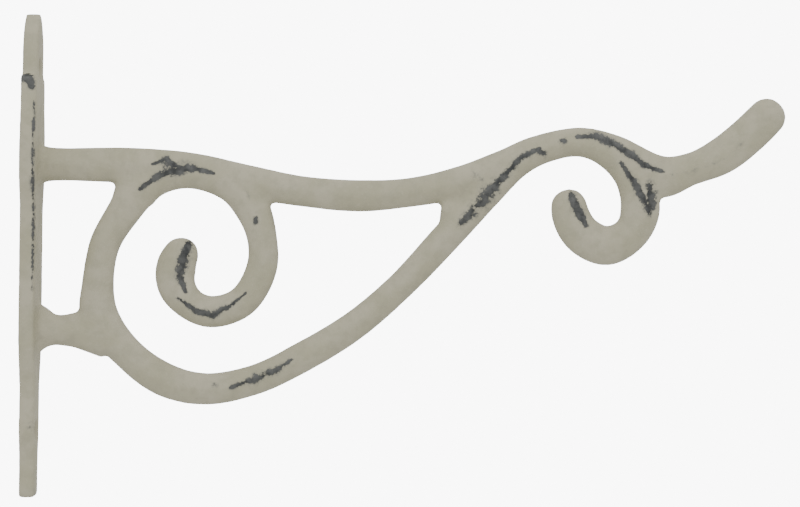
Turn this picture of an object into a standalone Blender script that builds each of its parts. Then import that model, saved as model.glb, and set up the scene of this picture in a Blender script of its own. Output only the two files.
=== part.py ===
"""Cast iron wall bracket, such as carries a hanging plant: wall plate, long arm and scroll.

It is one casting, so it is one object. The origin is the middle of the plate's back, at the wall.
+X runs out from the wall, +Z is up, and the casting is the same on both sides of y = 0, where
the two halves of its mould met. Lengths here are in millimetres, and MM turns them into metres.
"""
import math

import bpy
import bmesh
import numpy as np

MM = 0.001

# Wall plate, seen from the front: a pointed head, a shoulder, and a body that tapers to a foot
PLATE_HEIGHT = 191.0
PLATE_THICKNESS = 6.2
PLATE_EDGE_ROUND = 1.1
HEAD_HALF_WIDTH = 7.4
HEAD_RISE = 15.4
HEAD_ARC_STEPS = 6
SHOULDER_HEIGHT = 71.4
FOOT_ROUND = 2.0
FOOT_ROUND_STEPS = 3
OUTLINE_STEP = 3.4

# The plate's half widths under its shoulder, as (height, half width)
PLATE_SIDE = {
    "under the shoulder": (70.0, 11.2),
    "neck": (62.0, 11.2),
    "swell behind the arm starts": (44.0, 13.0),
    "swell behind the arm ends": (30.0, 13.0),
    "waist starts": (18.0, 10.2),
    "waist ends": (-35.0, 10.1),
    "tail starts": (-54.0, 6.2),
    "eye round the lower screw": (-69.0, 6.6),
    "under the eye": (-80.0, 4.8),
    "foot": (-93.5, 5.0),
}

# Screw holes, countersunk from the front
SCREW_HEIGHTS = {"upper": 74.0, "lower": -69.0}
SCREW_HOLE = 4.8
SCREW_HEAD = 9.0
SCREW_SINK = 2.6
SCREW_SIDES = 24
CUT_MARGIN = 1.0

# How thick each bar is from side to side
ARM_DEPTH = 10.0
SCROLL_DEPTH = 10.6
ROOT_DEPTH = 9.4
WEB_DEPTH = 8.8

# The bars' middle lines, as (reach from the wall, height, width seen from the side)
ARM = {
    "inside the plate": (3.0, 36.0, 19.5),
    "fillet on the plate": (6.5, 36.0, 16.0),
    "beside the plate": (9.5, 36.0, 13.6),
    "over the scroll's shoulder": (42.0, 35.9, 14.0),
    "over the scroll's crown": (66.0, 34.8, 12.8),
    "leaving the scroll": (89.0, 30.0, 13.0),
    "sagging": (110.0, 26.5, 12.0),
    "lowest": (132.0, 25.0, 12.5),
    "rising": (152.0, 26.5, 11.5),
    "over the fork": (172.5, 31.0, 12.5),
    "on the fork": (188.5, 37.5, 12.0),
    "foot of the arch": (202.0, 44.0, 11.0),
    "crown of the arch": (219.5, 48.5, 9.0),
    "shoulder of the arch": (233.0, 44.5, 11.5),
    "saddle": (250.3, 34.1, 16.8),
    "root of the tip": (263.4, 37.2, 12.9),
    "tip bending up": (275.8, 42.8, 14.8),
    "tip rising": (287.0, 52.0, 15.0),
    "tip end": (298.0, 63.5, 14.5),
}
SCROLL = {
    "curl end": (65.9, 7.0, 11.0),
    "curl inside": (60.7, -3.0, 15.5),
    "curl left": (60.7, -11.4, 14.9),
    "curl turning": (66.6, -18.8, 12.6),
    "curl lowest": (75.0, -21.5, 12.5),
    "curl rising": (86.7, -17.3, 12.3),
    "curl right": (94.2, -4.3, 12.2),
    "curl far right": (94.2, 8.0, 11.8),
    "curl shoulder": (89.7, 20.4, 14.0),
    "curl under the arm": (82.0, 28.5, 13.5),
    "crown": (66.0, 33.0, 12.0),
    "crown falling": (53.5, 31.0, 13.0),
    "loop leaving the arm": (45.2, 26.7, 16.8),
    "loop upper left": (40.5, 19.2, 13.6),
    "loop left": (32.5, 5.5, 12.0),
    "loop far left": (29.7, -10.0, 12.3),
    "loop over the root": (30.5, -24.0, 15.0),
    "loop lower left": (40.7, -37.2, 12.7),
    "loop bottom left": (55.7, -48.2, 13.3),
    "lowest": (72.0, -52.0, 12.5),
    "bar rising": (92.1, -48.1, 11.8),
    "bar lower third": (112.1, -38.2, 12.0),
    "bar middle": (131.1, -26.2, 11.5),
    "bar upper third": (149.0, -10.5, 11.0),
    "bar near the fork": (166.5, 8.5, 12.0),
    "fork": (182.5, 26.0, 11.5),
    "joining the arch": (195.5, 39.0, 11.0),
    "foot of the arch": (206.0, 44.5, 11.0),
    "crown of the arch": (219.0, 46.5, 10.0),
    "shoulder of the arch": (230.0, 43.5, 12.0),
    "hook falling": (239.3, 34.5, 13.1),
    "hook right": (243.5, 22.0, 15.6),
    "hook turning": (240.1, 11.8, 14.2),
    "hook lowest": (230.5, 6.5, 15.5),
    "hook rising": (220.9, 10.5, 15.6),
    "hook left": (216.0, 18.5, 15.0),
    "hook end": (215.1, 28.8, 12.6),
}
ROOT = {
    "inside the plate": (3.0, -29.0, 26.0),
    "fillet on the plate": (8.0, -29.0, 18.0),
    "fillet ends": (12.5, -29.4, 12.4),
    "middle": (17.0, -29.5, 12.5),
    "fillet on the loop": (23.5, -29.5, 15.0),
    "inside the loop": (34.0, -31.8, 17.4),
}
FORK_WEB = {
    "inside the fork": (174.5, 18.0, 13.0),
    "facing the window": (164.7, 19.4, 8.0),
}

# A bar gets a ring of points for so much bend, and another for so much length
RING_BEND = math.radians(11.0)
RING_REACH = 8.0
CURVE_STEPS = 40
ROUND_END_STEPS = 5

# A bar's section: a low roof on each side, rounded into the seam along y = 0
ROOF_SHOULDER = 0.62
ROOF_DROP = 0.22
ROOF_CORNER_STEPS = 3

PAINT_COLOUR = (0.42, 0.40, 0.31, 1.0)
PAINT_ROUGHNESS = 0.7
PAINT_METALLIC = 0.1


def clear_scene():
    for thing in list(bpy.data.objects):
        bpy.data.objects.remove(thing, do_unlink=True)


def painted_iron():
    material = bpy.data.materials.new("antique cream paint")
    material.use_nodes = True
    shader = material.node_tree.nodes["Principled BSDF"]
    shader.inputs["Base Color"].default_value = PAINT_COLOUR
    shader.inputs["Roughness"].default_value = PAINT_ROUGHNESS
    shader.inputs["Metallic"].default_value = PAINT_METALLIC
    return material


def new_object(name, bm, material):
    """Turn a bmesh drawn in millimetres into a closed, outward facing object in metres."""
    bmesh.ops.scale(bm, vec=(MM, MM, MM), verts=bm.verts)
    bmesh.ops.recalc_face_normals(bm, faces=bm.faces)
    mesh = bpy.data.meshes.new(name)
    bm.to_mesh(mesh)
    bm.free()
    mesh.materials.append(material)
    thing = bpy.data.objects.new(name, mesh)
    bpy.context.scene.collection.objects.link(thing)
    return thing


def between(start, end, start_knot, end_knot, knot):
    """The point as far from start to end as the knot is from one of their knots to the other."""
    share = (knot - start_knot) / (end_knot - start_knot)
    return start + (end - start) * share


class Path:
    """A smooth curve through a bar's stations: a centripetal Catmull-Rom spline."""

    def __init__(self, stations):
        points = np.array(list(stations.values()))
        before = 2 * points[0] - points[1]
        after = 2 * points[-1] - points[-2]
        points = np.vstack([before, points, after])
        gaps = np.linalg.norm(np.diff(points[:, :2], axis=0), axis=1)
        knots = np.concatenate([[0.0], np.cumsum(np.sqrt(gaps))])

        samples = []
        for i in range(1, len(points) - 2):
            k0, k1, k2, k3 = knots[i - 1:i + 3]
            p0, p1, p2, p3 = points[i - 1:i + 3]
            for knot in np.linspace(k1, k2, CURVE_STEPS, endpoint=False):
                a1 = between(p0, p1, k0, k1, knot)
                a2 = between(p1, p2, k1, k2, knot)
                a3 = between(p2, p3, k2, k3, knot)
                b1 = between(a1, a2, k0, k2, knot)
                b2 = between(a2, a3, k1, k3, knot)
                samples.append(between(b1, b2, k1, k2, knot))
        samples.append(points[-2])
        self.samples = np.array(samples)

        steps = np.diff(self.samples[:, :2], axis=0)
        lengths = np.linalg.norm(steps, axis=1)
        headings = np.unwrap(np.arctan2(steps[:, 1], steps[:, 0]))
        self.run = np.concatenate([[0.0], np.cumsum(lengths)])
        self.length = self.run[-1]
        bends = np.abs(np.diff(headings, prepend=headings[0]))
        self.rings_so_far = np.concatenate([[0.0], np.cumsum(bends / RING_BEND + lengths / RING_REACH)])

    def read(self, distance):
        """Reach, height and width at a distance along the curve."""
        return np.array([np.interp(distance, self.run, column) for column in self.samples.T])

    def slope(self, distance):
        reach = 0.5
        before = self.read(max(0.0, distance - reach))
        after = self.read(min(self.length, distance + reach))
        return math.atan2(after[1] - before[1], after[0] - before[0])

    def ring_distances(self, start, end):
        """Distances for rings from start to end, closer together where the bar bends more."""
        first = np.interp(start, self.run, self.rings_so_far)
        last = np.interp(end, self.run, self.rings_so_far)
        count = max(2, math.ceil(last - first) + 1)
        return np.interp(np.linspace(first, last, count), self.rings_so_far, self.run)


def roofed_section():
    """A bar's section as (across, depth) in units of its half sizes: a low ridge on each side."""
    quarter = [(0.0, 1.0)]
    for i in range(ROOF_CORNER_STEPS + 1):
        turn = math.radians(90.0 * i / ROOF_CORNER_STEPS)
        across = ROOF_SHOULDER + (1.0 - ROOF_SHOULDER) * math.sin(turn)
        quarter.append((across, (1.0 - ROOF_DROP) * math.cos(turn)))
    right = quarter + [(across, -depth) for across, depth in reversed(quarter[:-1])]
    left = [(-across, depth) for across, depth in reversed(right[1:-1])]
    return right + left


def ring_stops(path, round_start, round_end):
    """Where the rings stand, as (distance, scale): full size, shrinking into each round end."""
    turns = [math.radians(90.0 * i / ROUND_END_STEPS) for i in range(1, ROUND_END_STEPS)]
    start_radius = path.read(0.0)[2] / 2 if round_start else 0.0
    end_radius = path.read(path.length)[2] / 2 if round_end else 0.0
    stops = [(d, 1.0) for d in path.ring_distances(start_radius, path.length - end_radius)]
    if round_start:
        stops = [(start_radius * (1.0 - math.sin(t)), math.cos(t)) for t in reversed(turns)] + stops
    if round_end:
        stops += [(path.length - end_radius * (1.0 - math.sin(t)), math.cos(t)) for t in turns]
    return stops


def add_bar(bm, stations, bar_depth, round_start, round_end):
    """Sweep the section along a bar, with an end that is round or, inside other metal, flat."""
    path = Path(stations)
    section = roofed_section()
    rings = []
    for distance, scale in ring_stops(path, round_start, round_end):
        x, z, width = path.read(distance)
        slope = path.slope(distance)
        ring = []
        for across, depth in section:
            side = across * scale * width / 2
            place = (x - side * math.sin(slope), depth * scale * bar_depth / 2, z + side * math.cos(slope))
            ring.append(bm.verts.new(place))
        rings.append(ring)

    corners = range(len(section))
    for one, two in zip(rings, rings[1:]):
        for i in corners:
            j = (i + 1) % len(section)
            bm.faces.new((one[i], one[j], two[j], two[i]))
    for ring, is_round, distance in ((rings[0], round_start, 0.0), (rings[-1], round_end, path.length)):
        if is_round:
            x, z, _ = path.read(distance)
            pole = bm.verts.new((x, 0.0, z))
            for i in corners:
                bm.faces.new((ring[i], ring[(i + 1) % len(section)], pole))
        else:
            bm.faces.new(ring)
    bmesh.ops.triangulate(bm, faces=bm.faces)


def plate_half_width(height):
    """Half the plate's width under its shoulder, easing from one station to the next."""
    stations = list(PLATE_SIDE.values())
    for (top, wide), (bottom, narrow) in zip(stations, stations[1:]):
        if height >= bottom:
            share = (top - height) / (top - bottom)
            return wide + (narrow - wide) * share * share * (3.0 - 2.0 * share)
    return stations[-1][1]


def plate_side():
    """One side of the plate seen from the front, from its point down to its foot."""
    top = PLATE_HEIGHT / 2
    bottom = -top
    # The head is an ogive: an arc that meets the straight side of the head at its tangent
    radius = (HEAD_HALF_WIDTH ** 2 + HEAD_RISE ** 2) / (2 * HEAD_HALF_WIDTH)
    whole = math.asin(HEAD_RISE / radius)
    side = []
    for i in range(HEAD_ARC_STEPS + 1):
        turn = whole * (1.0 - i / HEAD_ARC_STEPS)
        half = HEAD_HALF_WIDTH - radius * (1.0 - math.cos(turn))
        side.append((half, top - HEAD_RISE + radius * math.sin(turn)))
    side.append((HEAD_HALF_WIDTH, SHOULDER_HEIGHT))

    under_shoulder = PLATE_SIDE["under the shoulder"][0]
    foot_height, foot_half = PLATE_SIDE["foot"]
    count = math.ceil((under_shoulder - foot_height) / OUTLINE_STEP)
    for height in np.linspace(under_shoulder, foot_height, count, endpoint=False):
        side.append((plate_half_width(height), height))
    for i in range(FOOT_ROUND_STEPS + 1):
        turn = math.radians(90.0 * i / FOOT_ROUND_STEPS)
        half = foot_half - FOOT_ROUND * (1.0 - math.cos(turn))
        side.append((half, bottom + FOOT_ROUND * (1.0 - math.sin(turn))))
    return side


def add_plate(bm):
    """Extrude the plate's outline off the wall, and round the edges of its front face."""
    side = plate_side()
    side[0] = (0.0, side[0][1])
    outline = side + [(-half, height) for half, height in reversed(side[1:])]
    back = bm.faces.new([bm.verts.new((0.0, half, height)) for half, height in outline])
    extruded = bmesh.ops.extrude_face_region(bm, geom=[back])
    moved = [part for part in extruded["geom"] if isinstance(part, bmesh.types.BMVert)]
    bmesh.ops.translate(bm, vec=(PLATE_THICKNESS, 0.0, 0.0), verts=moved)
    front_edges = [e for e in bm.edges if all(v.co.x > PLATE_THICKNESS / 2 for v in e.verts)]
    bmesh.ops.bevel(
        bm,
        geom=front_edges,
        offset=PLATE_EDGE_ROUND,
        segments=2,
        profile=0.5,
        affect="EDGES",
        clamp_overlap=True,
    )


def hidden_tool(thing):
    """Keep an object that only shapes the bracket out of sight."""
    thing.hide_render = True
    thing.display_type = "WIRE"
    return thing


def screw_cutter(name, height, material):
    """A countersunk hole: shank, cone and a little of the air on both sides of the plate."""
    profile = [
        (-CUT_MARGIN, 0.0),
        (-CUT_MARGIN, SCREW_HOLE / 2),
        (PLATE_THICKNESS - SCREW_SINK, SCREW_HOLE / 2),
        (PLATE_THICKNESS, SCREW_HEAD / 2),
        (PLATE_THICKNESS + CUT_MARGIN, SCREW_HEAD / 2),
        (PLATE_THICKNESS + CUT_MARGIN, 0.0),
    ]
    bm = bmesh.new()
    verts = [bm.verts.new((x, radius, 0.0)) for x, radius in profile]
    edges = [bm.edges.new(pair) for pair in zip(verts, verts[1:])]
    bmesh.ops.spin(
        bm,
        geom=verts + edges,
        cent=(0.0, 0.0, 0.0),
        axis=(1.0, 0.0, 0.0),
        angle=math.tau,
        steps=SCREW_SIDES,
        use_merge=True,
    )
    bmesh.ops.remove_doubles(bm, verts=bm.verts, dist=0.01)
    bmesh.ops.translate(bm, vec=(0.0, 0.0, height), verts=bm.verts)
    return hidden_tool(new_object(name, bm, material))


def combine(target, tool, operation):
    modifier = target.modifiers.new(tool.name, "BOOLEAN")
    modifier.operation = operation
    modifier.solver = "EXACT"
    modifier.object = tool


def build_bracket():
    """Join the bars to the plate, then cut the screw holes."""
    paint = painted_iron()
    bm = bmesh.new()
    add_plate(bm)
    bracket = new_object("bracket", bm, paint)

    # Each bar's stations, depth, and whether its first and last ends are round
    bars = {
        "root strut": (ROOT, ROOT_DEPTH, False, False),
        "fork web": (FORK_WEB, WEB_DEPTH, False, False),
        "scroll bar": (SCROLL, SCROLL_DEPTH, True, True),
        "arm": (ARM, ARM_DEPTH, False, True),
    }
    for name, (stations, bar_depth, round_start, round_end) in bars.items():
        bm = bmesh.new()
        add_bar(bm, stations, bar_depth, round_start, round_end)
        combine(bracket, hidden_tool(new_object(name, bm, paint)), "UNION")
    for name, height in SCREW_HEIGHTS.items():
        combine(bracket, screw_cutter(f"{name} screw hole", height, paint), "DIFFERENCE")


def main():
    clear_scene()
    build_bracket()


main()
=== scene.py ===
# %% [markdown]
# # A cast iron wall bracket under old cream paint
#
# The bracket is a single casting. Molten iron ran into a mould pressed in sand, so every bar is
# softly roofed towards its middle, every corner is rounded, and every joint has a fillet. It was
# painted cream long ago. The paint has worn through to the dark iron along the ridges of the bars.
#
# The lesson builds it the same way round: first the form, swept along the lines of the bars and
# melted into one skin, then the marks of the sand, then the paint and its wear, then the studio.

# %% Load the model that the looks go around
import math

import bpy
import bmesh
import numpy as np
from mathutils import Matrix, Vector


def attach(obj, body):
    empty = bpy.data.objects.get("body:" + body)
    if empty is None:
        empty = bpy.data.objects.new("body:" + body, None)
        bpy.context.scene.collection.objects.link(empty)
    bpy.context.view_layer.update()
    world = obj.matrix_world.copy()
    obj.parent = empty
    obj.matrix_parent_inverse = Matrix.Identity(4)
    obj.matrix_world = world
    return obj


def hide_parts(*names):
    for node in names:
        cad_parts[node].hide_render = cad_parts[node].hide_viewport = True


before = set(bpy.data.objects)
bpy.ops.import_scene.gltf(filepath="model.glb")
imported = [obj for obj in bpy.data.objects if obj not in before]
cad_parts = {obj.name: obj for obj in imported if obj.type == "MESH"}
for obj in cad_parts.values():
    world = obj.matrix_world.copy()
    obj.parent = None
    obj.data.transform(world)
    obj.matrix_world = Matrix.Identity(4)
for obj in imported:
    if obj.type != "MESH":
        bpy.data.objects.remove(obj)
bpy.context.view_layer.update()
MM = 0.001
print("solids:", ", ".join(sorted(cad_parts)))

# %% [markdown]
# ## The bars
#
# Five bars make the bracket: the long arm, the bar that curls into a scroll at one end and a hook
# at the other, a short strut at the wall, and a web in the fork. Each is known by the stations
# that its middle line passes, with its width there. A reader could draw them as curves by hand.
# Named stations are kept here instead, so that a change to one shows what it is meant for.
# All of them are in millimetres: reach from the wall, height, and width seen from the side.

# %% The stations of each bar
ARM = {
    "inside the plate": (3.0, 36.0, 19.5),
    "fillet on the plate": (6.5, 36.0, 16.0),
    "beside the plate": (9.5, 36.0, 13.6),
    "over the scroll's shoulder": (42.0, 35.9, 14.0),
    "over the scroll's crown": (66.0, 34.8, 12.8),
    "leaving the scroll": (89.0, 30.0, 13.0),
    "sagging": (110.0, 26.5, 12.0),
    "lowest": (132.0, 25.0, 12.5),
    "rising": (152.0, 26.5, 11.5),
    "over the fork": (172.5, 31.0, 12.5),
    "on the fork": (188.5, 37.5, 12.0),
    "foot of the arch": (202.0, 44.0, 11.0),
    "crown of the arch": (219.5, 48.5, 9.0),
    "shoulder of the arch": (233.0, 44.5, 11.5),
    "saddle": (250.3, 34.1, 16.8),
    "root of the tip": (263.4, 37.2, 12.9),
    "tip bending up": (275.8, 42.8, 14.8),
    "tip rising": (287.0, 52.0, 15.0),
    "tip end": (298.0, 63.5, 14.5),
}
SCROLL = {
    "curl end": (65.9, 7.0, 11.0),
    "curl inside": (60.7, -3.0, 15.5),
    "curl left": (60.7, -11.4, 14.9),
    "curl turning": (66.6, -18.8, 12.6),
    "curl lowest": (75.0, -21.5, 12.5),
    "curl rising": (86.7, -17.3, 12.3),
    "curl right": (94.2, -4.3, 12.2),
    "curl far right": (94.2, 8.0, 11.8),
    "curl shoulder": (89.7, 20.4, 14.0),
    "curl under the arm": (82.0, 28.5, 13.5),
    "crown": (66.0, 33.0, 12.0),
    "crown falling": (53.5, 31.0, 13.0),
    "loop leaving the arm": (45.2, 26.7, 16.8),
    "loop upper left": (40.5, 19.2, 13.6),
    "loop left": (32.5, 5.5, 12.0),
    "loop far left": (29.7, -10.0, 12.3),
    "loop over the root": (30.5, -24.0, 15.0),
    "loop lower left": (40.7, -37.2, 12.7),
    "loop bottom left": (55.7, -48.2, 13.3),
    "lowest": (72.0, -52.0, 12.5),
    "bar rising": (92.1, -48.1, 11.8),
    "bar lower third": (112.1, -38.2, 12.0),
    "bar middle": (131.1, -26.2, 11.5),
    "bar upper third": (149.0, -10.5, 11.0),
    "bar near the fork": (166.5, 8.5, 12.0),
    "fork": (182.5, 26.0, 11.5),
    "joining the arch": (195.5, 39.0, 11.0),
    "foot of the arch": (206.0, 44.5, 11.0),
    "crown of the arch": (219.0, 46.5, 10.0),
    "shoulder of the arch": (230.0, 43.5, 12.0),
    "hook falling": (239.3, 34.5, 13.1),
    "hook right": (243.5, 22.0, 15.6),
    "hook turning": (240.1, 11.8, 14.2),
    "hook lowest": (230.5, 6.5, 15.5),
    "hook rising": (220.9, 10.5, 15.6),
    "hook left": (216.0, 18.5, 15.0),
    "hook end": (215.1, 28.8, 12.6),
}
ROOT = {
    "inside the plate": (3.0, -29.0, 26.0),
    "fillet on the plate": (8.0, -29.0, 18.0),
    "fillet ends": (12.5, -29.4, 12.4),
    "middle": (17.0, -29.5, 12.5),
    "fillet on the loop": (23.5, -29.5, 15.0),
    "inside the loop": (34.0, -31.8, 17.4),
}
FORK_WEB = {
    "inside the fork": (174.5, 18.0, 13.0),
    "facing the window": (164.7, 19.4, 8.0),
}

# Each bar's stations, its thickness from side to side, and whether its two ends are round
BARS = {
    "arm": (ARM, 10.0, False, True),
    "scroll": (SCROLL, 10.6, True, True),
    "root strut": (ROOT, 9.4, False, False),
    "fork web": (FORK_WEB, 8.8, False, False),
}
print("bars:", ", ".join(f"{name} ({len(bar[0])} stations)" for name, bar in BARS.items()))


# %% [markdown]
# ## A smooth line through the stations
#
# A pattern maker would bend a lath through the stations. A centripetal Catmull-Rom spline is that
# lath: it passes every station, and it doesn't loop where two stations lie close together, as
# in the small turn of the hook. The width rides along as a third coordinate.

# %% Draw a smooth line
STEPS_PER_SPAN = 24


def between(start, end, start_knot, end_knot, knot):
    """Points as far from start to end as the knots are from one of their knots to the other."""
    share = (knot - start_knot) / (end_knot - start_knot)
    return start + (end - start) * share


def smooth_line(stations):
    """Rows of reach, height and width along the lath through the stations."""
    points = np.array(list(stations.values()))
    points = np.vstack([2 * points[0] - points[1], points, 2 * points[-1] - points[-2]])
    gaps = np.linalg.norm(np.diff(points[:, :2], axis=0), axis=1)
    knots = np.concatenate([[0.0], np.cumsum(np.sqrt(gaps))])
    rows = []
    for i in range(1, len(points) - 2):
        k0, k1, k2, k3 = knots[i - 1:i + 3]
        p0, p1, p2, p3 = points[i - 1:i + 3]
        knot = np.linspace(k1, k2, STEPS_PER_SPAN, endpoint=False)[:, None]
        a1 = between(p0, p1, k0, k1, knot)
        a2 = between(p1, p2, k1, k2, knot)
        a3 = between(p2, p3, k2, k3, knot)
        b1 = between(a1, a2, k0, k2, knot)
        b2 = between(a2, a3, k1, k3, knot)
        rows.append(between(b1, b2, k1, k2, knot))
    return np.vstack(rows + [points[-2:-1]])


def distances_along(line):
    steps = np.linalg.norm(np.diff(line[:, :2], axis=0), axis=1)
    return np.concatenate([[0.0], np.cumsum(steps)])


lines = {name: smooth_line(bar[0]) for name, bar in BARS.items()}
for name, line in lines.items():
    length, narrow, wide = distances_along(line)[-1], line[:, 2].min(), line[:, 2].max()
    print(f"{name}: {length:.0f} mm of bar, {narrow:.1f} to {wide:.1f} mm wide")


# %% [markdown]
# ## Lines that carry their own sizes
#
# Geometry Nodes will sweep a section along each line. It has to know how wide and thick the bar
# is at every point, so the line is made as a mesh of plain edges with two named attributes. At a
# round end both sizes fall to nothing along a quarter circle, which makes the end a dome.

# %% Make the lines as one wire
ROUND_END_STEPS = 8
SMALLEST_SHARE = 0.04


def with_round_ends(line, round_start, round_end):
    """The line with its last stretches resampled, and each row's share of the full section."""
    along = distances_along(line)
    total = along[-1]
    radius_in = line[0, 2] / 2 if round_start else 0.0
    radius_out = line[-1, 2] / 2 if round_end else 0.0
    turns = np.radians(np.linspace(0.0, 90.0, ROUND_END_STEPS, endpoint=False))
    keep = along[(along >= radius_in) & (along <= total - radius_out)]
    stops = [keep]
    shares = [np.ones(len(keep))]
    if round_start:
        stops.insert(0, radius_in * (1.0 - np.cos(turns)))
        shares.insert(0, np.sin(turns))
    if round_end:
        stops.append(total - radius_out * (1.0 - np.cos(turns[::-1])))
        shares.append(np.sin(turns[::-1]))
    stops = np.concatenate(stops)
    shares = np.maximum(np.concatenate(shares), SMALLEST_SHARE)
    rows = np.stack([np.interp(stops, along, column) for column in line.T], axis=1)
    return rows, shares


def make_wire(name):
    points, edges, half_widths, half_depths = [], [], [], []
    for bar, (_, depth, round_start, round_end) in BARS.items():
        rows, shares = with_round_ends(lines[bar], round_start, round_end)
        first = len(points)
        points += [(x * MM, 0.0, z * MM) for x, z, _ in rows]
        edges += [(first + i, first + i + 1) for i in range(len(rows) - 1)]
        half_widths += list(rows[:, 2] / 2 * shares * MM)
        half_depths += list(depth / 2 * shares * MM)
    mesh = bpy.data.meshes.new(name)
    mesh.from_pydata(points, edges, [])
    for attribute, values in (("half_width", half_widths), ("half_depth", half_depths)):
        mesh.attributes.new(attribute, "FLOAT", "POINT").data.foreach_set("value", values)
    wire = bpy.data.objects.new(name, mesh)
    bpy.context.scene.collection.objects.link(wire)
    return wire


bar_lines = make_wire("bar_lines")
print(f"the wire has {len(bar_lines.data.vertices)} points on {len(BARS)} lines")


# %% [markdown]
# ## A small kit for node trees
#
# The same few lines build every tree here. `Tree.node` makes any node: its settings go in first,
# because a Math node's sockets depend on its operation, and then its inputs, as values or links.
# `Number` wraps an output, so that sums on it can be written as sums, also with a plain number in
# front.

# %% Sockets that can be added up
class Number:
    """A number coming out of a node. Each operator adds one Math node to the tree."""

    def __init__(self, tree, socket):
        self.tree = tree
        self.socket = socket

    def __add__(self, other):
        return self.tree.maths("ADD", self, other)

    def __radd__(self, other):
        return self.tree.maths("ADD", other, self)

    def __sub__(self, other):
        return self.tree.maths("SUBTRACT", self, other)

    def __rsub__(self, other):
        return self.tree.maths("SUBTRACT", other, self)

    def __mul__(self, other):
        return self.tree.maths("MULTIPLY", self, other)

    def __rmul__(self, other):
        return self.tree.maths("MULTIPLY", other, self)

    def __truediv__(self, other):
        return self.tree.maths("DIVIDE", self, other)

    def __rtruediv__(self, other):
        return self.tree.maths("DIVIDE", other, self)

    def __pow__(self, other):
        return self.tree.maths("POWER", self, other)


# %% Trees that make nodes from a name, settings and inputs
class Tree:
    """Builds nodes in one node tree, for shapes and for materials alike."""

    def __init__(self, tree, maths_node):
        self.nodes = tree.nodes
        self.links = tree.links
        self.maths_node = maths_node

    def node(self, kind, settings=None, inputs=None):
        """A node of a kind, with its settings made first and then its inputs, by name or number."""
        made = self.nodes.new(kind)
        for name, value in (settings or {}).items():
            setattr(made, name, value)
        for key, value in (inputs or {}).items():
            self.feed(made.inputs[key], value)
        return made

    def feed(self, socket, value):
        if isinstance(value, Number):
            self.links.new(value.socket, socket)
        elif isinstance(value, bpy.types.NodeSocket):
            self.links.new(value, socket)
        else:
            socket.default_value = value

    def maths(self, operation, *values):
        made = self.node(self.maths_node, {"operation": operation}, dict(enumerate(values)))
        return Number(self, made.outputs[0])

    def number(self, made, output=0):
        return Number(self, made.outputs[output])

    def vectors(self, operation, inputs):
        return self.node("ShaderNodeVectorMath", {"operation": operation}, inputs)

    def stored(self, name):
        """A number that an earlier step left on the points under this name."""
        made = self.node("GeometryNodeInputNamedAttribute", {"data_type": "FLOAT"}, {"Name": name})
        return Number(self, made.outputs["Attribute"])


def shape_tree(name, inputs):
    """A Geometry Nodes tree with named inputs, ready for its nodes, with its way in and out."""
    group = bpy.data.node_groups.new(name, "GeometryNodeTree")
    group.interface.new_socket("Geometry", in_out="INPUT", socket_type="NodeSocketGeometry")
    for label, kind in inputs.items():
        group.interface.new_socket(label, in_out="INPUT", socket_type=f"NodeSocket{kind}")
    group.interface.new_socket("Geometry", in_out="OUTPUT", socket_type="NodeSocketGeometry")
    tree = Tree(group, "ShaderNodeMath")
    given = tree.node("NodeGroupInput")
    result = tree.node("NodeGroupOutput")
    return group, tree, given, result


def finish_shape(tree, result, geometry, material):
    """Every tree here ends the same way: real geometry, with its material set."""
    realized = tree.node("GeometryNodeRealizeInstances", inputs={"Geometry": geometry})
    painted = tree.node(
        "GeometryNodeSetMaterial",
        inputs={"Geometry": realized.outputs["Geometry"], "Material": material},
    )
    tree.feed(result.inputs["Geometry"], painted.outputs["Geometry"])


def use_tree(piece, group, **values):
    """Put a tree on a piece as a modifier, with its inputs set by their sockets' identifiers."""
    modifier = piece.modifiers.new(group.name, "NODES")
    modifier.node_group = group
    for item in group.interface.items_tree:
        label = item.name.lower().replace(" ", "_")
        if item.in_out == "INPUT" and label in values:
            modifier[item.identifier] = values.pop(label)
    if values:
        raise ValueError(f"{group.name} has no input named {sorted(values)}")
    return modifier


print("node kit ready")

# %% [markdown]
# ## Sweeping a cast bar
#
# A cast bar has the section of its mould: nearly flat at the edge, where the two halves of the
# mould met, and a low ridge along the middle of each side. A circle bent by two powers gives it.
# Across, the cosine is squared, which makes the ridge. In depth, the square root of the sine
# makes the full, rounded corners. The tree carries each line's place and heading into the
# swept mesh, and then puts every point where the section says.


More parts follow.
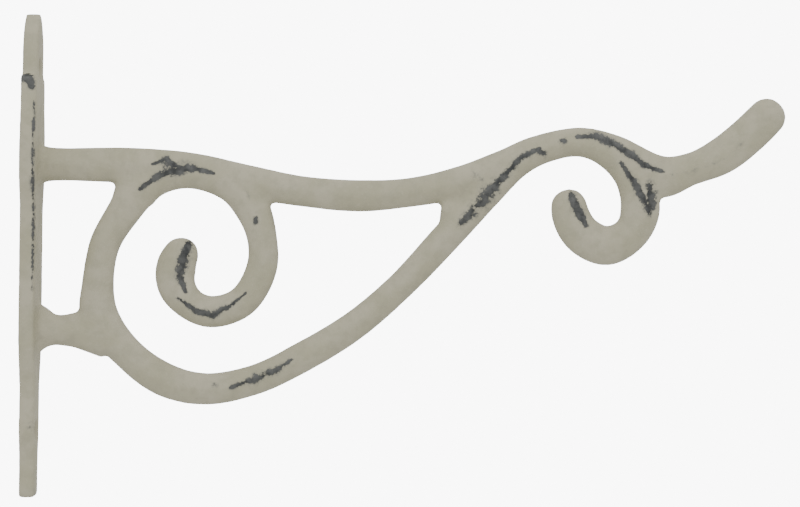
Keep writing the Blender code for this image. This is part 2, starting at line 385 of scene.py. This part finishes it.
# %% Build the sweep
def build_sweep():
    group, tree, given, result = shape_tree(
        "cast bar sweep",
        {
            "Ring Spacing": "Float",
            "Section Points": "Int",
            "Ridge Power": "Float",
            "Corner Power": "Float",
            "Material": "Material",
        },
    )
    curve = tree.node("GeometryNodeMeshToCurve", inputs={"Mesh": given.outputs["Geometry"]})
    evened = tree.node(
        "GeometryNodeResampleCurve",
        {"mode": "LENGTH"},
        {"Curve": curve.outputs[0], "Length": given.outputs["Ring Spacing"]},
    )
    carried = tree.node("GeometryNodeCaptureAttribute", {"domain": "POINT"})
    carried.capture_items.new("VECTOR", "place")
    carried.capture_items.new("VECTOR", "heading")
    tree.feed(carried.inputs["Geometry"], evened.outputs[0])
    tree.feed(carried.inputs["place"], tree.node("GeometryNodeInputPosition").outputs[0])
    tree.feed(carried.inputs["heading"], tree.node("GeometryNodeInputTangent").outputs[0])

    circle = tree.node(
        "GeometryNodeCurvePrimitiveCircle",
        inputs={"Resolution": given.outputs["Section Points"]},
    )
    section = tree.node("GeometryNodeCaptureAttribute", {"domain": "POINT"})
    section.capture_items.new("VECTOR", "round")
    tree.feed(section.inputs["Geometry"], circle.outputs["Curve"])
    tree.feed(section.inputs["round"], tree.node("GeometryNodeInputPosition").outputs[0])

    swept = tree.node(
        "GeometryNodeCurveToMesh",
        inputs={
            "Curve": carried.outputs["Geometry"],
            "Profile Curve": section.outputs["Geometry"],
            "Fill Caps": True,
        },
    )
    split = tree.node("ShaderNodeSeparateXYZ", inputs={0: section.outputs["round"]})
    shaped = []
    for axis, power in (("X", "Ridge Power"), ("Y", "Corner Power")):
        turn = tree.number(split, axis)
        size = tree.maths("ABSOLUTE", turn) ** tree.number(given, power)
        shaped.append(tree.maths("SIGN", turn) * size)
    across = shaped[0] * tree.stored("half_width")
    depth = shaped[1] * tree.stored("half_depth")

    side = tree.vectors("CROSS_PRODUCT", {0: carried.outputs["heading"], 1: (0.0, 1.0, 0.0)})
    sideways = tree.vectors("SCALE", {0: side.outputs[0], "Scale": across})
    outwards = tree.node("ShaderNodeCombineXYZ", inputs={"Y": depth})
    offset = tree.vectors("ADD", {0: sideways.outputs[0], 1: outwards.outputs[0]})
    place = tree.vectors("ADD", {0: carried.outputs["place"], 1: offset.outputs[0]})
    placed = tree.node(
        "GeometryNodeSetPosition",
        inputs={"Geometry": swept.outputs["Mesh"], "Position": place.outputs[0]},
    )
    finish_shape(tree, result, placed.outputs["Geometry"], given.outputs["Material"])
    return group


def frozen(piece, name):
    """The piece as its modifiers make it, as a plain mesh object, in place of the piece."""
    depsgraph = bpy.context.evaluated_depsgraph_get()
    mesh = bpy.data.meshes.new_from_object(piece.evaluated_get(depsgraph))
    bpy.data.objects.remove(piece, do_unlink=True)
    made = bpy.data.objects.new(name, mesh)
    bpy.context.scene.collection.objects.link(made)
    return made


# %% Sweep the bars
# The material carries the worn paint, and also painted shade in the hollows and in two dark patches
paint = bpy.data.materials.new("rubbed cream paint")
use_tree(
    bar_lines,
    build_sweep(),
    ring_spacing=0.7 * MM,
    section_points=72,
    ridge_power=2.0,
    corner_power=0.5,
    material=paint,
)
bars = frozen(bar_lines, "swept_bars")
print(f"the swept bars have {len(bars.data.polygons)} faces")


# %% [markdown]
# ## The wall plate
#
# The plate is what the two screws hold. Seen from the front it has a pointed head, a shoulder, a
# swelling where the arm grows out of it, a waist and a thin tail with an eye round the lower
# screw. An outline and an extrusion make it, and bevels round its front edge as the mould's
# slope did. Two countersunk holes are cut with Boolean modifiers.

# %% The plate's sizes
PLATE_HEIGHT = 191.0
PLATE_THICKNESS = 6.2
PLATE_EDGE_ROUND = 1.1
HEAD_HALF_WIDTH = 7.4
HEAD_RISE = 15.4
HEAD_ARC_STEPS = 14
SHOULDER_HEIGHT = 71.4
FOOT_ROUND = 2.0
FOOT_ROUND_STEPS = 5
OUTLINE_STEP = 1.2
PLATE_SIDE = {
    "under the shoulder": (70.0, 11.2),
    "neck": (62.0, 11.2),
    "swell behind the arm starts": (44.0, 13.0),
    "swell behind the arm ends": (30.0, 13.0),
    "waist starts": (18.0, 10.2),
    "waist ends": (-35.0, 10.1),
    "tail starts": (-54.0, 6.2),
    "eye round the lower screw": (-69.0, 6.6),
    "under the eye": (-80.0, 4.8),
    "foot": (-93.5, 5.0),
}
SCREW_HEIGHTS = {"upper": 74.0, "lower": -69.0}
SCREW_HOLE = 4.8
SCREW_HEAD = 9.0
SCREW_SINK = 2.6
SCREW_SIDES = 48
CUT_MARGIN = 1.0


# %% Draw the plate's outline
def plate_half_width(height):
    """Half the plate's width under its shoulder, easing from one station to the next."""
    stations = list(PLATE_SIDE.values())
    for (top, wide), (bottom, narrow) in zip(stations, stations[1:]):
        if height >= bottom:
            share = (top - height) / (top - bottom)
            return wide + (narrow - wide) * share * share * (3.0 - 2.0 * share)
    return stations[-1][1]


def plate_side():
    """One side of the plate seen from the front, from its point down to its foot."""
    top = PLATE_HEIGHT / 2
    # The head is an ogive: an arc that meets the straight side of the head at its tangent
    radius = (HEAD_HALF_WIDTH ** 2 + HEAD_RISE ** 2) / (2 * HEAD_HALF_WIDTH)
    whole = math.asin(HEAD_RISE / radius)
    side = []
    for turn in np.linspace(whole, 0.0, HEAD_ARC_STEPS + 1):
        half = HEAD_HALF_WIDTH - radius * (1.0 - math.cos(turn))
        side.append((half, top - HEAD_RISE + radius * math.sin(turn)))
    side.append((HEAD_HALF_WIDTH, SHOULDER_HEIGHT))
    shoulder = PLATE_SIDE["under the shoulder"][0]
    foot, foot_half = PLATE_SIDE["foot"]
    count = math.ceil((shoulder - foot) / OUTLINE_STEP)
    for height in np.linspace(shoulder, foot, count, endpoint=False):
        side.append((plate_half_width(height), height))
    for turn in np.radians(np.linspace(0.0, 90.0, FOOT_ROUND_STEPS + 1)):
        half = foot_half - FOOT_ROUND * (1.0 - math.cos(turn))
        side.append((half, -top + FOOT_ROUND * (1.0 - math.sin(turn))))
    side[0] = (0.0, side[0][1])
    return side


# %% Make the plate and cut its screw holes
def solid(name, bm):
    """Close a bmesh drawn in millimetres into an object in metres, with its faces outwards."""
    bmesh.ops.scale(bm, vec=(MM, MM, MM), verts=bm.verts)
    bmesh.ops.recalc_face_normals(bm, faces=bm.faces)
    mesh = bpy.data.meshes.new(name)
    bm.to_mesh(mesh)
    bm.free()
    made = bpy.data.objects.new(name, mesh)
    bpy.context.scene.collection.objects.link(made)
    return made


def make_plate():
    side = plate_side()
    outline = side + [(-half, height) for half, height in reversed(side[1:])]
    bm = bmesh.new()
    back = bm.faces.new([bm.verts.new((0.0, half, height)) for half, height in outline])
    extruded = bmesh.ops.extrude_face_region(bm, geom=[back])
    moved = [part for part in extruded["geom"] if isinstance(part, bmesh.types.BMVert)]
    bmesh.ops.translate(bm, vec=(PLATE_THICKNESS, 0.0, 0.0), verts=moved)
    front_edges = [e for e in bm.edges if all(v.co.x > PLATE_THICKNESS / 2 for v in e.verts)]
    bmesh.ops.bevel(
        bm,
        geom=front_edges,
        offset=PLATE_EDGE_ROUND,
        segments=3,
        profile=0.5,
        affect="EDGES",
        clamp_overlap=True,
    )
    return solid("plate", bm)


def make_screw_cutter(name, height):
    profile = [
        (-CUT_MARGIN, 0.0),
        (-CUT_MARGIN, SCREW_HOLE / 2),
        (PLATE_THICKNESS - SCREW_SINK, SCREW_HOLE / 2),
        (PLATE_THICKNESS, SCREW_HEAD / 2),
        (PLATE_THICKNESS + CUT_MARGIN, SCREW_HEAD / 2),
        (PLATE_THICKNESS + CUT_MARGIN, 0.0),
    ]
    bm = bmesh.new()
    verts = [bm.verts.new((x, radius, 0.0)) for x, radius in profile]
    edges = [bm.edges.new(pair) for pair in zip(verts, verts[1:])]
    bmesh.ops.spin(
        bm,
        geom=verts + edges,
        cent=(0.0, 0.0, 0.0),
        axis=(1.0, 0.0, 0.0),
        angle=math.tau,
        steps=SCREW_SIDES,
        use_merge=True,
    )
    bmesh.ops.remove_doubles(bm, verts=bm.verts, dist=0.01)
    bmesh.ops.translate(bm, vec=(0.0, 0.0, height), verts=bm.verts)
    return solid(name, bm)


plate = make_plate()
cutters = [make_screw_cutter(f"{name}_cutter", height) for name, height in SCREW_HEIGHTS.items()]
for cutter in cutters:
    cut = plate.modifiers.new(cutter.name, "BOOLEAN")
    cut.operation = "DIFFERENCE"
    cut.solver = "EXACT"
    cut.object = cutter
plate = frozen(plate, "cut_plate")
for cutter in cutters:
    bpy.data.objects.remove(cutter, do_unlink=True)
print(f"the plate has {len(plate.data.polygons)} faces")


# %% [markdown]
# ## Melting the parts into one casting
#
# Iron fills its mould as one body. Bars and plate now only overlap, so a voxel remesh melts them
# into a single even skin. That leaves tiny steps and sharp corners where bars meet. A second
# tree relaxes the steps, then finds the hollow corners, as the places where a blurred copy of the
# skin stands outside the skin itself, and relaxes only those, until each has its fillet.
# Last it gives the skin the marks of the sand: slow lumps and a fine roughness.

# %% Join the bars and the plate
VOXEL = 0.72


def joined(pieces, name):
    bm = bmesh.new()
    for piece in pieces:
        bm.from_mesh(piece.data)
        bpy.data.objects.remove(piece, do_unlink=True)
    mesh = bpy.data.meshes.new(name)
    bm.to_mesh(mesh)
    bm.free()
    made = bpy.data.objects.new(name, mesh)
    bpy.context.scene.collection.objects.link(made)
    return made


casting = joined([bars, plate], "rough_casting")
melt = casting.modifiers.new("melt", "REMESH")
melt.mode = "VOXEL"
melt.voxel_size = VOXEL * MM
casting = frozen(casting, "melted_casting")
print(f"the melted skin has {len(casting.data.polygons)} faces")


# %% Build the tree that fillets and roughens
HOLLOW_ROUNDS = 6
HOLLOW_SPREAD_ROUNDS = 3
SKIN_NOISES = {"Lump": 2.0, "Grain": 3.0}


def blurred(tree, value, rounds, weight=1.0):
    made = tree.node(
        "GeometryNodeBlurAttribute",
        {"data_type": "FLOAT_VECTOR"},
        {"Iterations": rounds, "Weight": weight},
    )
    vector_input = [s for s in made.inputs if s.type == "VECTOR" and s.enabled][0]
    tree.feed(vector_input, value)
    return [s for s in made.outputs if s.type == "VECTOR" and s.enabled][0]


def standing_proud(tree, rounds):
    """How far the skin stands outside a blurred copy of itself: less than nothing in a hollow."""
    place = tree.node("GeometryNodeInputPosition").outputs[0]
    normal = tree.node("GeometryNodeInputNormal").outputs[0]
    gap = tree.vectors("SUBTRACT", {0: place, 1: blurred(tree, place, rounds)})
    height = tree.vectors("DOT_PRODUCT", {0: gap.outputs[0], 1: normal})
    return tree.number(height, "Value")


def build_skin():
    group, tree, given, result = shape_tree(
        "cast skin",
        {
            "Relax Rounds": "Int",
            "Fillet Rounds": "Int",
            "Hollow Limit": "Float",
            "Lump Height": "Float",
            "Lump Size": "Float",
            "Grain Height": "Float",
            "Grain Size": "Float",
            "Proud Rounds": "Int",
            "Material": "Material",
        },
    )
    place = tree.node("GeometryNodeInputPosition").outputs[0]
    relaxed = tree.node(
        "GeometryNodeSetPosition",
        inputs={
            "Geometry": given.outputs["Geometry"],
            "Position": blurred(tree, place, given.outputs["Relax Rounds"]),
        },
    )
    depth = (0.0 - standing_proud(tree, HOLLOW_ROUNDS)) / tree.number(given, "Hollow Limit")
    hollow = tree.maths("MINIMUM", tree.maths("MAXIMUM", depth, 0.0), 1.0)
    spread = tree.node(
        "GeometryNodeBlurAttribute",
        {"data_type": "FLOAT"},
        {"Iterations": HOLLOW_SPREAD_ROUNDS},
    )
    tree.feed([s for s in spread.inputs if s.type == "VALUE" and s.enabled][0], hollow)
    spread_out = [s for s in spread.outputs if s.type == "VALUE" and s.enabled][0]
    marked = tree.node(
        "GeometryNodeStoreNamedAttribute",
        {"data_type": "FLOAT", "domain": "POINT"},
        {"Geometry": relaxed.outputs["Geometry"], "Name": "hollow", "Value": spread_out},
    )
    fillet_place = blurred(tree, place, given.outputs["Fillet Rounds"], tree.stored("hollow"))
    filleted = tree.node(
        "GeometryNodeSetPosition",
        inputs={"Geometry": marked.outputs["Geometry"], "Position": fillet_place},
    )
    heights = []
    for label, detail in SKIN_NOISES.items():
        noise = tree.node(
            "ShaderNodeTexNoise",
            inputs={"Scale": 1.0 / tree.number(given, f"{label} Size"), "Detail": detail},
        )
        heights.append((tree.number(noise, 0) - 0.5) * 2.0 * tree.number(given, f"{label} Height"))
    normal = tree.node("GeometryNodeInputNormal").outputs[0]
    push = tree.vectors("SCALE", {0: normal, "Scale": heights[0] + heights[1]})
    roughened = tree.node(
        "GeometryNodeSetPosition",
        inputs={"Geometry": filleted.outputs["Geometry"], "Offset": push.outputs[0]},
    )
    proud_now = standing_proud(tree, given.outputs["Proud Rounds"])
    stored = tree.node(
        "GeometryNodeStoreNamedAttribute",
        {"data_type": "FLOAT", "domain": "POINT"},
        {"Geometry": roughened.outputs["Geometry"], "Name": "proud", "Value": proud_now / MM},
    )
    smooth = tree.node(
        "GeometryNodeSetShadeSmooth",
        inputs={"Geometry": stored.outputs["Geometry"]},
    )
    finish_shape(tree, result, smooth.outputs[0], given.outputs["Material"])
    return group


# %% Fillet and roughen the casting
use_tree(
    casting,
    build_skin(),
    relax_rounds=3,
    fillet_rounds=24,
    hollow_limit=0.12 * MM,
    lump_height=0.12 * MM,
    lump_size=11.0 * MM,
    grain_height=0.05 * MM,
    grain_size=2.6 * MM,
    proud_rounds=8,
    material=paint,
)
casting = frozen(casting, "cast_bracket")
triangles = sum(len(face.vertices) - 2 for face in casting.data.polygons)
print(f"the casting has {triangles} triangles")


# %% [markdown]
# ## Where the paint is rubbed through, and two patches of painted shade
#
# Old paint goes first where a hand or a chain rubs: along the ridge in the middle of each bar's
# side, at the curls' ends and over the fork. Each stretch is a short line on the side of the
# casting, with a half width and a strength. Two of them are painted shade laid on as dark iron:
# the crescent in the notch under the plate's head and the crease between the arm and the scroll.
# Every point of the skin takes the strongest mark that reaches it, and the number goes into an
# attribute that the paint reads. A mask painted by hand would do as well, but this one can be
# read and changed.

# %% List the rubbed stretches and the painted shade
# Each is (strength, points as reach, height and half width), in millimetres
WORN_AND_SHADED_STRETCHES = {
    # Painted shade: the notch under the plate's head lies in shadow, and this crescent paints it as
    # dark iron
    "plate head, crescent of painted shade": (1.0, [
        (4.2, 80.3, 1.0), (2.7, 75.6, 1.8), (1.2, 73.2, 2.2), (2.8, 69.3, 1.8),
        (4.4, 65.4, 1.0),
    ]),
    "plate head, front spot": (0.7, [
        (5.7, 89.3, 1.3), (5.6, 88.0, 1.2),
    ]),
    "plate tail spot": (0.6, [
        (4.3, -67.4, 1.3), (4.4, -66.0, 1.1),
    ]),
    "plate's near arris": (0.55, [
        (5.4, 60.0, 0.5), (5.4, 30.0, 1.1), (5.4, 12.0, 0.9), (5.2, -14.0, 0.4),
    ]),
    "arm's ridge over the scroll": (0.95, [
        (51.0, 36.2, 0.6), (56.4, 38.4, 1.4), (60.4, 35.3, 1.8),
    ]),
    "scroll's ridge under the arm": (1.0, [
        (46.4, 26.5, 0.9), (53.4, 31.7, 1.4), (60.4, 34.1, 2.0), (67.5, 35.0, 1.5),
        (75.4, 32.9, 0.7),
    ]),
    # Painted shade in the crease where the arm meets the scroll's crown, laid on as dark iron
    "painted shade between the two ridges": (0.6, [
        (56.1, 35.6, 2.2), (67.9, 35.8, 2.0),
    ]),
    "scroll's shoulder dot": (0.85, [
        (92.1, 15.4, 1.2), (92.1, 14.0, 1.2),
    ]),
    "scroll's shoulder ridge": (0.35, [
        (87.6, 26.6, 1.0), (92.9, 14.9, 1.0),
    ]),
    "curl's end": (1.0, [
        (65.5, 5.0, 1.5), (63.6, -2.0, 2.4),
    ]),
    "curl's inside ridge": (0.95, [
        (63.6, -2.0, 2.2), (62.5, -7.5, 1.7), (64.9, -14.1, 0.8),
    ]),
    "curl's lower ridge": (0.9, [
        (61.8, -16.1, 0.7), (69.0, -21.1, 1.4), (75.7, -23.0, 1.5), (83.4, -18.2, 1.0),
        (88.5, -13.8, 0.5),
    ]),
    "lower bar's spot": (0.6, [
        (76.0, -50.1, 1.2), (77.2, -50.0, 1.1),
    ]),
    "lower bar's ridge": (0.8, [
        (82.7, -51.2, 0.8), (92.4, -47.6, 2.0), (100.3, -44.3, 1.8), (106.9, -39.9, 0.7),
    ]),
    "fork, broad": (0.8, [
        (172.2, 13.9, 1.4), (179.9, 22.6, 3.6), (184.6, 27.6, 3.4),
    ]),
    "fork, up into the arch": (0.95, [
        (182.0, 25.0, 1.8), (195.4, 40.3, 1.4), (203.2, 44.5, 0.8),
    ]),
    "fork, upper spot": (0.55, [
        (177.8, 34.0, 1.8), (181.0, 31.7, 1.6),
    ]),
    "arch, first spot": (0.8, [
        (203.3, 42.9, 1.5), (205.0, 42.4, 1.5),
    ]),
    "arch, second spot": (0.8, [
        (211.8, 47.4, 1.3), (213.0, 47.6, 1.3),
    ]),
    "arch's ridge": (1.0, [
        (217.7, 49.0, 0.8), (224.8, 49.5, 1.5), (230.7, 47.2, 1.7), (238.2, 42.8, 1.5),
        (244.9, 37.9, 1.3), (252.0, 35.7, 0.7),
    ]),
    "hook's ridge": (0.9, [
        (235.1, 39.0, 0.9), (240.1, 32.0, 1.6), (245.1, 23.6, 1.8), (246.3, 19.9, 1.0),
    ]),
    "hook's shoulder": (0.85, [
        (246.6, 29.7, 2.6), (246.7, 24.0, 3.0), (246.7, 19.5, 1.6),
    ]),
    "hook's end": (1.0, [
        (216.0, 25.8, 1.6), (219.3, 18.4, 2.2), (221.7, 14.5, 1.2),
    ]),
    "tip's ridge": (0.35, [
        (252.5, 34.5, 0.9), (262.3, 35.8, 1.0), (275.9, 40.7, 1.0), (283.7, 48.6, 0.6),
    ]),
}
# The plate's front face keeps its paint: marks on the plate lie on its sides only
PLATE_MARKS_END = 8.0
PLATE_FRONT_SHARE = 0.8


# %% Mark the skin with them
def marked_by(places, strength, line):
    """How much one stretch marks each place: most on its line, and nothing two half widths off."""
    most = np.zeros(len(places))
    for (*start, start_half), (*end, end_half) in zip(line, line[1:]):
        way = np.subtract(end, start)
        share = np.clip((places - start) @ way / (way @ way), 0.0, 1.0)
        gaps = np.linalg.norm(places - start - share[:, None] * way, axis=1)
        half_widths = start_half + (end_half - start_half) * share
        most = np.maximum(most, strength * np.clip(1.0 - gaps / (2.0 * half_widths), 0.0, 1.0))
    return most


def mark_wear_and_shade(mesh):
    points = np.empty(len(mesh.vertices) * 3)
    mesh.vertices.foreach_get("co", points)
    reach, side, height = points.reshape(-1, 3).T / MM
    places = np.column_stack([reach, height])
    front_half = PLATE_FRONT_SHARE * np.array([plate_half_width(h) for h in height])
    on_plate_front = (reach < PLATE_MARKS_END) & (np.abs(side) < front_half)
    rubbed = np.zeros(len(places))
    for strength, line in WORN_AND_SHADED_STRETCHES.values():
        rubbed = np.maximum(rubbed, marked_by(places, strength, line))
    rubbed[on_plate_front] = 0.0
    mesh.attributes.new("rubbed", "FLOAT", "POINT").data.foreach_set("value", rubbed)
    return rubbed


rubbed = mark_wear_and_shade(casting.data)
print(f"{np.mean(rubbed > 0.5):.0%} of the skin is rubbed")

# %% [markdown]
# ## The paint and the iron under it
#
# The finish has two layers. Under it is old iron, nearly black and a little shiny. Over it is
# flat cream paint that has greyed unevenly. A mask mixes the two: the mark of wear and painted
# shade plus a noise, cut off sharply, gives ragged edges. A softer cut of the same sum gives the
# thin, smoky paint round each bare place. Hollows are darkened with painted shade, and ridges
# lose some paint everywhere.
# All patterns stand on Object coordinates turned into millimetres, so their sizes are real ones.


# %% Mix the paint
def colour(red, green, blue):
    """A colour as the eye sees it on a screen, from 0 to 255, turned into scene light."""
    def linear(level):
        share = level / 255.0
        return share / 12.92 if share <= 0.04045 else ((share + 0.055) / 1.055) ** 2.4
    return (linear(red), linear(green), linear(blue), 1.0)


def paint_tree(material):
    material.use_nodes = True
    material.node_tree.nodes.clear()
    return Tree(material.node_tree, "ShaderNodeMath")


def noise(tree, places, size_mm, detail, roughness=0.55):
    made = tree.node(
        "ShaderNodeTexNoise",
        {"noise_dimensions": "3D"},
        {"Vector": places, "Scale": 1.0 / size_mm, "Detail": detail, "Roughness": roughness},
    )
    return tree.number(made, 0)


def step(tree, value, low, high):
    """Nothing below low, everything above high, and a soft step between."""
    made = tree.node(
        "ShaderNodeMapRange",
        {"interpolation_type": "SMOOTHSTEP", "clamp": True},
        {"Value": value, "From Min": low, "From Max": high},
    )
    return tree.number(made, 0)


def mix(tree, share, first, second):
    made = tree.node(
        "ShaderNodeMix",
        {"data_type": "RGBA", "blend_type": "MIX", "clamp_factor": True},
    )
    tree.feed(made.inputs[0], share)
    tree.feed(made.inputs[6], first)
    tree.feed(made.inputs[7], second)
    return made.outputs[2]


def attribute(tree, name):
    made = tree.node("ShaderNodeAttribute", {"attribute_type": "GEOMETRY", "attribute_name": name})
    return tree.number(made, "Fac")


# Colours as the eye sees them, from 0 to 255
FRESH_CREAM = (173, 168, 146)
AGED_CREAM = (163, 159, 134)
GREYED_CREAM = (150, 147, 125)
CHALKY_CREAM = (184, 180, 159)
# Painted shade: the darker olive laid into the hollows
HOLLOW_SHADE = (120, 115, 92)
SMOKY_PAINT = (112, 112, 106)
DARK_IRON = (48, 50, 50)
WORN_IRON = (86, 87, 85)

# How large the patches of each noise are, in millimetres
SLOW_SIZE = 16.0
PATCHY_SIZE = 4.5
FINE_SIZE = 1.1
BUMP_HEIGHT = 0.2


def make_paint(material):
    tree = paint_tree(material)
    coordinates = tree.node("ShaderNodeTexCoord")
    millimetres = tree.node(
        "ShaderNodeVectorMath",
        {"operation": "SCALE"},
        {0: coordinates.outputs["Object"], "Scale": 1.0 / MM},
    )
    places = millimetres.outputs[0]
    slow = noise(tree, places, SLOW_SIZE, 3.0)
    patchy = noise(tree, places, PATCHY_SIZE, 4.0, 0.6)
    fine = noise(tree, places, FINE_SIZE, 4.0, 0.65)
    proud = attribute(tree, "proud")
    worn_and_shaded_here = attribute(tree, "rubbed")

    cream = mix(tree, step(tree, slow, 0.35, 0.65), colour(*FRESH_CREAM), colour(*AGED_CREAM))
    cream = mix(tree, step(tree, patchy, 0.42, 0.68) * 0.45, cream, colour(*GREYED_CREAM))
    cream = mix(tree, step(tree, fine, 0.52, 0.75) * 0.35, cream, colour(*CHALKY_CREAM))
    iron = mix(tree, step(tree, patchy, 0.35, 0.65), colour(*DARK_IRON), colour(*WORN_IRON))

    ragged = (patchy - 0.5) * 1.1 + (fine - 0.5) * 0.8
    ridge = step(tree, proud, 0.05, 0.35) * 0.18
    # The marks of wear and of painted shade, with the ragged noise and the worn ridges added
    wear_and_shade = worn_and_shaded_here + ragged + ridge
    # Bare iron where the paint is worn through, and dark iron painted as shade in the crescent and
    # the crease
    bare = step(tree, wear_and_shade, 0.50, 0.66)
    smoky = step(tree, wear_and_shade, 0.26, 0.62)
    # Painted shade: hollows, where the skin lies below its blurred copy, are darkened towards olive
    hollow_shade = step(tree, 0.0 - proud, 0.03, 0.25)

    aged = mix(tree, hollow_shade * 0.35, cream, colour(*HOLLOW_SHADE))
    aged = mix(tree, smoky * 0.55, aged, colour(*SMOKY_PAINT))
    surface = mix(tree, bare, aged, iron)

    height = (fine - 0.5) * 0.35 + (patchy - 0.5) * 0.5 - bare * 0.5
    bump = tree.node(
        "ShaderNodeBump",
        inputs={"Strength": 0.6, "Distance": BUMP_HEIGHT * MM, "Height": height},
    )
    shader = tree.node(
        "ShaderNodeBsdfPrincipled",
        inputs={
            "Base Color": surface,
            "Roughness": 0.72 - bare * 0.22 + (fine - 0.5) * 0.2,
            "Metallic": bare * 0.35,
            "Normal": bump.outputs["Normal"],
        },
    )
    output = tree.node("ShaderNodeOutputMaterial", inputs={"Surface": shader.outputs[0]})
    output.location = (400, 0)


make_paint(paint)
print(f"the paint has {len(paint.node_tree.nodes)} nodes")

# %% [markdown]
# ## The studio
#
# The bracket is shown square from its side before white. A long lens far off keeps the plate
# nearly edge on, but lets a sliver of its front show. The light is a white room with one large
# soft lamp above, so that the upper edges are a little brighter than the lower ones.

# %% Set the camera
PICTURE_WIDTH = 800
MM_PER_PIXEL = 0.395
CAMERA_DISTANCE = 850.0
CAMERA_AIM = (148.8, 0.0, 2.4)
CAMERA_ROLL = math.radians(0.7)

camera_data = bpy.data.cameras.new("camera")
camera_data.sensor_width = 36.0
camera_data.lens = camera_data.sensor_width * CAMERA_DISTANCE / (PICTURE_WIDTH * MM_PER_PIXEL)
camera = bpy.data.objects.new("camera", camera_data)
camera.location = Vector(CAMERA_AIM) * MM + Vector((0.0, -CAMERA_DISTANCE * MM, 0.0))
camera.rotation_euler = (math.radians(90.0), -CAMERA_ROLL, 0.0)
bpy.context.scene.collection.objects.link(camera)
bpy.context.scene.camera = camera
print(f"lens {camera_data.lens:.1f} mm")

# %% Light the room
ROOM_LIGHT = 1.0
BACKDROP_WHITE = 9.0
LAMP_POWER = 6.0
LAMP_SIZE = (1.2, 0.8)
LAMP_PLACE = (0.1, -0.7, 0.9)
LAMP_TILT = math.radians(38.0)


def light_room():
    """White light from all round, and a brighter white for the eye alone, as on a light table."""
    world = bpy.data.worlds.new("white room")
    world.use_nodes = True
    world.node_tree.nodes.clear()
    tree = Tree(world.node_tree, "ShaderNodeMath")
    room = tree.node("ShaderNodeBackground", inputs={"Strength": ROOM_LIGHT})
    backdrop = tree.node("ShaderNodeBackground", inputs={"Strength": BACKDROP_WHITE})
    for light in (room, backdrop):
        light.inputs["Color"].default_value = (1.0, 1.0, 1.0, 1.0)
    ray = tree.node("ShaderNodeLightPath")
    either = tree.node("ShaderNodeMixShader", inputs={0: ray.outputs["Is Camera Ray"]})
    tree.feed(either.inputs[1], room.outputs[0])
    tree.feed(either.inputs[2], backdrop.outputs[0])
    tree.node("ShaderNodeOutputWorld", inputs={"Surface": either.outputs[0]})
    bpy.context.scene.world = world


def hang_lamp():
    lamp_data = bpy.data.lights.new("soft lamp", "AREA")
    lamp_data.shape = "RECTANGLE"
    lamp_data.size, lamp_data.size_y = LAMP_SIZE
    lamp_data.energy = LAMP_POWER
    lamp = bpy.data.objects.new("soft lamp", lamp_data)
    lamp.location = LAMP_PLACE
    lamp.rotation_euler = (LAMP_TILT, 0.0, 0.0)
    bpy.context.scene.collection.objects.link(lamp)
    return lamp


light_room()
hang_lamp()
print("the room is lit")

# %% Lay the floor
FLOOR_DROP = 0.16
FLOOR_REACH = 4.0


def lay_floor():
    """A floor as white as the backdrop. It is there for the eye, and throws no light upwards."""
    bm = bmesh.new()
    bmesh.ops.create_grid(bm, x_segments=1, y_segments=1, size=FLOOR_REACH)
    bmesh.ops.translate(bm, vec=(0.0, 0.0, -FLOOR_DROP), verts=bm.verts)
    mesh = bpy.data.meshes.new("floor")
    bm.to_mesh(mesh)
    bm.free()
    white = bpy.data.materials.new("white floor")
    white.use_nodes = True
    white.node_tree.nodes.clear()
    tree = Tree(white.node_tree, "ShaderNodeMath")
    glow = tree.node(
        "ShaderNodeEmission",
        inputs={"Color": (1.0, 1.0, 1.0, 1.0), "Strength": BACKDROP_WHITE},
    )
    tree.node("ShaderNodeOutputMaterial", inputs={"Surface": glow.outputs[0]})
    mesh.materials.append(white)
    floor = bpy.data.objects.new("floor", mesh)
    bpy.context.scene.collection.objects.link(floor)
    floor.visible_diffuse = False
    floor.visible_glossy = False
    floor.visible_shadow = False
    return floor


lay_floor()
print("the floor is laid")

# %% Tie the piece to the frame
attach(casting, "root")
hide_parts("bracket")
